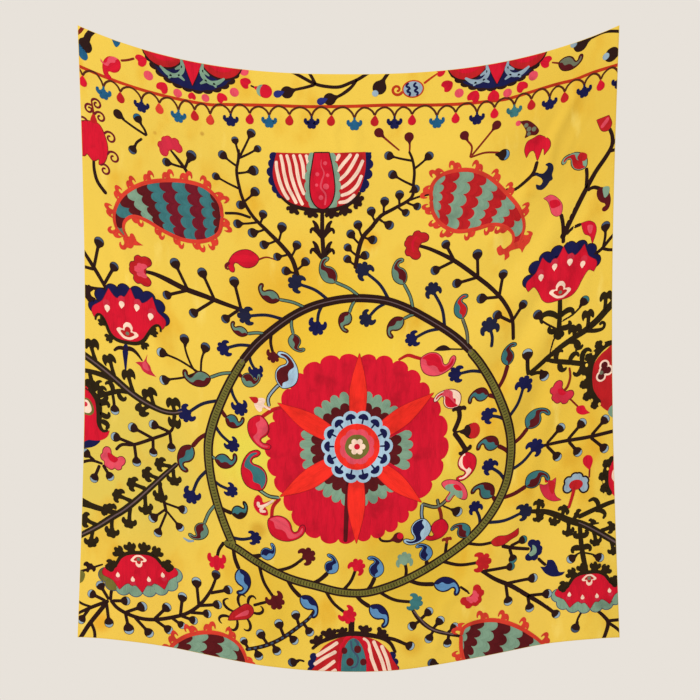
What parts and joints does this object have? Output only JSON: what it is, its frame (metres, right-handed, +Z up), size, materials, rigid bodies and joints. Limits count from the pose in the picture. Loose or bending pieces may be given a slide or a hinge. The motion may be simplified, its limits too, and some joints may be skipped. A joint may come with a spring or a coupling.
{
  "type": "suzani wall hanging",
  "caption": "Rectangular yellow cloth embroidered with a suzani pattern, hanging by its upper corners with a sagging top edge and soft swags.",
  "frame": {"origin": "on the back of the cloth, at the middle of its top edge, in the plane of the wall", "axes": "+Z up, +X to the right as seen from the front, +Y into the wall, so the embroidered front faces -Y"},
  "size_m": [1.3284, 0.0227, 1.5831],
  "materials": {
    "embroidered_cloth": "matt yellow cloth with coloured embroidery"
  },
  "bodies": {
    "root": {"cloth": "embroidered_cloth"}
  },
  "joints": []
}
